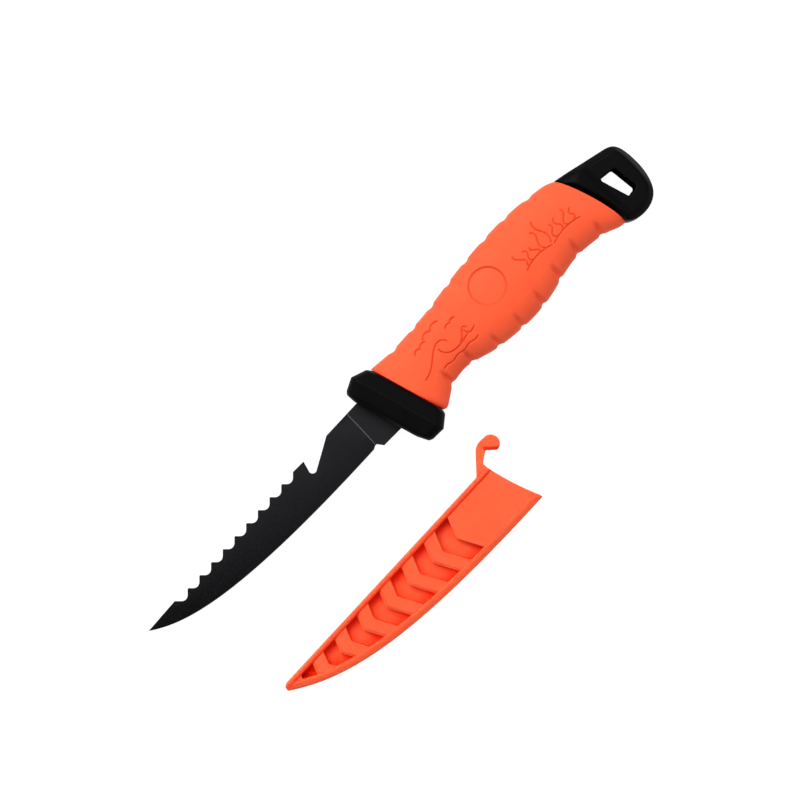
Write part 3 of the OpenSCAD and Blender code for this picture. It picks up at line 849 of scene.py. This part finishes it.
def bump(tree, principled, height, depth, strength=1.0):
    """Relief from a height, depth metres deep."""
    node = tree.nodes.new("ShaderNodeBump")
    node.inputs["Strength"].default_value = strength
    node.inputs["Distance"].default_value = depth
    tree.links.new(height, node.inputs["Height"])
    tree.links.new(node.outputs["Normal"], principled.inputs["Normal"])


def edge_share(tree, low, high):
    """How sharp an outer edge is, from the mesh's own shape."""
    geometry = tree.nodes.new("ShaderNodeNewGeometry")
    return ramp(tree, geometry.outputs["Pointiness"], low, high, 0, 1)


def openness(tree, reach):
    """1 on an open face, less in a cavity."""
    node = tree.nodes.new("ShaderNodeAmbientOcclusion")
    node.samples = 8
    node.inputs["Distance"].default_value = reach
    return node.outputs["AO"]


def point_value(tree, name):
    """A number that the mesh holds at each point, or 0 if it holds none."""
    node = tree.nodes.new("ShaderNodeAttribute")
    node.attribute_name = name
    return node.outputs["Fac"]


def scaled(color, share):
    """A darker or brighter colour."""
    return tuple(c * share for c in color)


GLOW_RADIUS, GLOW_SCALE = (1.0, 0.12, 0.04), 0.003     # red passes furthest through orange plastic
SHADE_GREEN, SHADE_BLUE = 0.3, 0.15     # shares of green and blue that are left in the painted shade colour of cavities
# How much painted shade the rim's foot, the knob's flat and the engraved grooves get, and how dark it is in the
# grooves.
PAINTED_SHADE_SHARE, GROOVE_SHADE_SHARE, GROOVE_SHADE_DIM = 0.85, 0.6, 0.45


def plastic(name, color, edge_wear_and_sheen, roughness, grain, grain_depth, specular, glow=0.0, reach=0.006):
    """A moulded plastic with cloudy colour, a fine grain, paler edges that are partly wear and partly a painted
    highlight, and painted shade in cavities, a deeper colour and a weaker reflection.

    Glow is the share of light that passes into it, and reach is how wide a cavity counts, in metres.
    """
    material, tree, principled = shader(name, color, roughness)
    principled.inputs["Subsurface Weight"].default_value = glow
    principled.inputs["Subsurface Radius"].default_value = GLOW_RADIUS
    principled.inputs["Subsurface Scale"].default_value = GLOW_SCALE
    cloud = ramp(tree, noise(tree, 45, 4), 0.35, 0.65, 0, 1)
    base = mix(tree, cloud, scaled(color, 0.94), color)
    fine = noise(tree, grain, 2)
    base = mix(tree, ramp(tree, fine, 0.35, 0.75, 0, 0.12), base, scaled(color, 0.8))
    # Paler sharp edges: partly wear, partly a painted highlight.
    base = mix(tree, edge_share(tree, 0.6, 0.74), base, edge_wear_and_sheen)
    # Painted shade: cavities that ambient occlusion finds hidden get a deeper, redder colour.
    deep = (color[0], SHADE_GREEN * color[1], SHADE_BLUE * color[2])
    cavity_shade = ramp(tree, openness(tree, reach), 0.35, 0.85, 1, 0)
    base = mix(tree, cavity_shade, base, deep)
    # Painted shade that the mesh holds at its points: the foot of the spine's rim and the knob's flat.
    painted_shade = ramp(tree, point_value(tree, "painted_shade"), 0, 1, 0, PAINTED_SHADE_SHARE)
    base = mix(tree, painted_shade, base, deep)
    # Painted shade in the engraved grooves and round the badge's ring.
    engraved = ramp(tree, point_value(tree, "engraved"), 0, 1, 0, GROOVE_SHADE_SHARE)
    base = mix(tree, engraved, base, scaled(deep, GROOVE_SHADE_DIM))
    tree.links.new(base, principled.inputs["Base Color"])
    # Painted shade on the reflection too: it weakens in cavities.
    tree.links.new(ramp(tree, cavity_shade, 0.0, 0.6, specular, 0.0), principled.inputs["Specular IOR Level"])
    rough = ramp(tree, noise(tree, 140, 3), 0.3, 0.7, roughness - 0.05, roughness + 0.05)
    tree.links.new(rough, principled.inputs["Roughness"])
    bump(tree, principled, fine, grain_depth)
    return material


BARE_STEEL = (0.42, 0.42, 0.43)


def coated_steel(name, color):
    """Ground steel under a black non-stick coating: fine speckle, faint grinding lines, bare edge.

    The coating is painted darker at the tip than at the heel, a painted reflection that lightens it near the heel.
    """
    material, tree, principled = shader(name, color, 0.45)
    principled.inputs["Specular IOR Level"].default_value = 0.1
    speckle = noise(tree, 1900, 2)
    speck = ramp(tree, speckle, 0.56, 0.72, 0, 1)
    place = tree.nodes.new("ShaderNodeTexCoord")
    along = tree.nodes.new("ShaderNodeSeparateXYZ")
    tree.links.new(place.outputs["Generated"], along.inputs["Vector"])
    # Painted reflection: lighter towards the heel, darker towards the tip.
    tip, heel = scaled(color, 0.4), scaled(color, 2.6)
    base = mix(tree, ramp(tree, along.outputs["X"], 0.1, 0.55, 0, 1), tip, heel)
    base = mix(tree, speck, base, heel)
    lines = noise(tree, 900, 2, (0.06, 1, 1))
    base = mix(tree, ramp(tree, lines, 0.4, 0.8, 0, 0.35), base, scaled(color, 1.8))
    bare = point_value(tree, "bare")
    base = mix(tree, bare, base, BARE_STEEL)
    tree.links.new(base, principled.inputs["Base Color"])
    tree.links.new(ramp(tree, speckle, 0.3, 0.7, 0.36, 0.52), principled.inputs["Roughness"])
    tree.links.new(ramp(tree, bare, 0.5, 1, 0, 0.9), principled.inputs["Metallic"])
    bump(tree, principled, speckle, 0.00003, 0.6)
    return material


def plain_steel(name, color):
    """Drawn steel wire, with fine lines along it."""
    material, tree, principled = shader(name, color, 0.35, 1.0)
    lines = noise(tree, 1500, 2, (1, 1, 0.05))
    tree.links.new(mix(tree, lines, scaled(color, 0.8), color), principled.inputs["Base Color"])
    tree.links.new(ramp(tree, lines, 0.3, 0.7, 0.28, 0.42), principled.inputs["Roughness"])
    bump(tree, principled, lines, 0.00001)
    return material


GRIP_ORANGE = (0.99, 0.115, 0.042)
# Edge colours: partly wear, partly a painted highlight.
SHEATH_ORANGE, SHEATH_EDGE_WEAR_SHEEN = (0.99, 0.138, 0.054), (0.97, 0.17, 0.07)
MOULDING_BLACK, MOULDING_EDGE_WEAR_SHEEN = (0.002, 0.002, 0.0023), (0.007, 0.007, 0.008)
CORE_BLACK, CORE_EDGE_WEAR_SHEEN = (0.02, 0.02, 0.02), (0.04, 0.04, 0.04)
BLADE_BLACK = (0.0035, 0.0035, 0.0043)
RIVET_GREY = (0.55, 0.56, 0.58)
materials = {
    "orange_grip": plastic(
        "orange_grip", GRIP_ORANGE, GRIP_ORANGE,
        roughness=0.6, grain=2600, grain_depth=0.00003, specular=0.1, glow=0.3, reach=0.002,
    ),
    "orange_sheath": plastic(
        "orange_sheath", SHEATH_ORANGE, SHEATH_EDGE_WEAR_SHEEN,
        roughness=0.55, grain=1600, grain_depth=0.00001, specular=0.05, glow=0.7,
    ),
    "black_moulding": plastic(
        "black_moulding", MOULDING_BLACK, MOULDING_EDGE_WEAR_SHEEN,
        roughness=0.5, grain=2600, grain_depth=0.00003, specular=0.05, reach=0.02,
    ),
    "core_plastic": plastic(
        "core_plastic", CORE_BLACK, CORE_EDGE_WEAR_SHEEN, roughness=0.6, grain=1200, grain_depth=0.00002, specular=0.4,
    ),
    "blade_coating": coated_steel("blade_coating", BLADE_BLACK),
    "rivet_steel": plain_steel("rivet_steel", RIVET_GREY),
}


def finish_piece(piece, slot, body, *nodes):
    """A piece's material and slot, the body it rides on and the CAD nodes it stands for."""
    piece.data.materials.append(materials[slot])
    if body:
        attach(piece, body)
    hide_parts(*nodes)


def build_object():
    """All visible pieces, each with its material, and the same materials on the CAD nodes."""
    finish_piece(build_blade(), "blade_coating", "knife", "blade")
    guard = moulded("guard_moulding", guard_field, (-10, -22, -13), (17, 22, 13), 0.3, KNIFE_AT)
    finish_piece(guard, "black_moulding", "knife", "guard")
    finish_piece(build_grip(), "orange_grip", "knife", "grip")
    pommel = moulded("pommel_moulding", pommel_field, (107, -17, -10.5), (138, 20, 10.5), 0.3, KNIFE_AT)
    finish_piece(pommel, "black_moulding", "knife", "pommel")
    low, high = (-130, -13, 0), (-2, 14, SHEATH_T)
    front = moulded("sheath_front_moulding", sheath_front_field, low, high, 0.27, SHEATH_AT)
    # Painted shade along the foot of the spine's rim.
    point_values(front, "painted_shade", rim_foot_shade(sheath_points(front)))
    finish_piece(front, "orange_sheath", "sheath", "sheath_front_panel", "sheath_edge")
    back = moulded("sheath_back_moulding", sheath_back_field, low, high, 0.36, SHEATH_AT)
    finish_piece(back, "orange_sheath", "sheath", "sheath_back_panel")
    latch = moulded("latch_moulding", latch_field, (-21, 10.5, 0), (0.5, 22.5, 8), 0.22, SHEATH_AT)
    # The knob's slanted flat gets painted shade.
    point_values(latch, "painted_shade", knob_flat_shade(sheath_points(latch)))
    finish_piece(latch, "orange_sheath", None, "sheath_latch")
    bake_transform(latch)
    for subpart in frame["record"]["subparts"]:
        node = frame["nodes"][subpart["node"]]
        node.data.materials.clear()
        node.data.materials.append(materials[subpart["material_slot"]])


# ---- studio ----

KEY = {"direction": (0.05, 0.6, 1.0), "distance": 1.3, "size": 0.8, "power": 18.3}
FILL = {"direction": (0.8, -0.7, 0.7), "distance": 1.4, "size": 0.8, "power": 3.4}
SKY_LOW, SKY_HIGH = 0.12, 0.28     # the sky's strength below the horizon and overhead
FLOOR_GREY, FLOOR_GLOW = 0.08, 0.98     # the floor is a bright white table that shines by itself
FLOOR_HALF, FLOOR_GAP = 20000.0, 0.15
PICTURE_W, LENS, SENSOR, PICTURE_TURN = 312, 100, 36, -45
PICTURE_MIDDLE = (6.1, 0.55, 0)


def area_light(name, direction, distance, size, power):
    """A soft box that shines at the object from a direction."""
    light = bpy.data.lights.new(name, "AREA")
    light.shape = "DISK"
    light.size = size
    light.energy = power
    lamp = bpy.data.objects.new(name, light)
    away = Vector(direction).normalized()
    lamp.location = away * distance
    lamp.rotation_mode = "QUATERNION"
    lamp.rotation_quaternion = away.to_track_quat("Z", "Y")
    bpy.context.scene.collection.objects.link(lamp)


def studio():
    """A pale sky, two soft boxes and a white table."""
    scene = bpy.context.scene
    scene.view_settings.view_transform = "Standard"
    world = bpy.data.worlds.new("studio")
    world.use_nodes = True
    tree = world.node_tree
    background = tree.nodes["Background"]
    background.inputs["Color"].default_value = (1, 1, 1, 1)
    direction = tree.nodes.new("ShaderNodeSeparateXYZ")
    place = tree.nodes.new("ShaderNodeTexCoord")
    tree.links.new(place.outputs["Generated"], direction.inputs["Vector"])
    strength = ramp(tree, direction.outputs["Z"], -0.3, 0.5, SKY_LOW, SKY_HIGH)
    tree.links.new(strength, background.inputs["Strength"])
    scene.world = world
    area_light("key", **KEY)
    area_light("fill", **FILL)

    grey = (FLOOR_GREY,) * 3
    material, tree, principled = shader("floor", grey, 0.8)
    pale = mix(tree, noise(tree, 3, 2), scaled(grey, 0.95), grey)
    tree.links.new(pale, principled.inputs["Base Color"])
    principled.inputs["Specular IOR Level"].default_value = 0.0
    principled.inputs["Emission Color"].default_value = (1, 1, 1, 1)
    principled.inputs["Emission Strength"].default_value = FLOOR_GLOW
    corners = np.array([(-1, -1, 0), (1, -1, 0), (1, 1, 0), (-1, 1, 0)]) * FLOOR_HALF
    floor = add_mesh("floor", corners, np.array([(0, 1, 2, 3)]), (0, 0, cad_box[0].z / MM - FLOOR_GAP))
    floor.data.materials.append(material)


def camera():
    """Looks straight down, turned so that the knife lies along the picture's diagonal."""
    data = bpy.data.cameras.new("camera")
    data.lens, data.sensor_width = LENS, SENSOR
    seen = bpy.data.objects.new("camera", data)
    seen.location = (KNIFE_AT + PICTURE_MIDDLE + (0, 0, PICTURE_W * LENS / SENSOR)) * MM
    seen.rotation_euler = (0, 0, math.radians(PICTURE_TURN))
    bpy.context.scene.collection.objects.link(seen)
    bpy.context.scene.camera = seen


camera()
studio()
build_object()
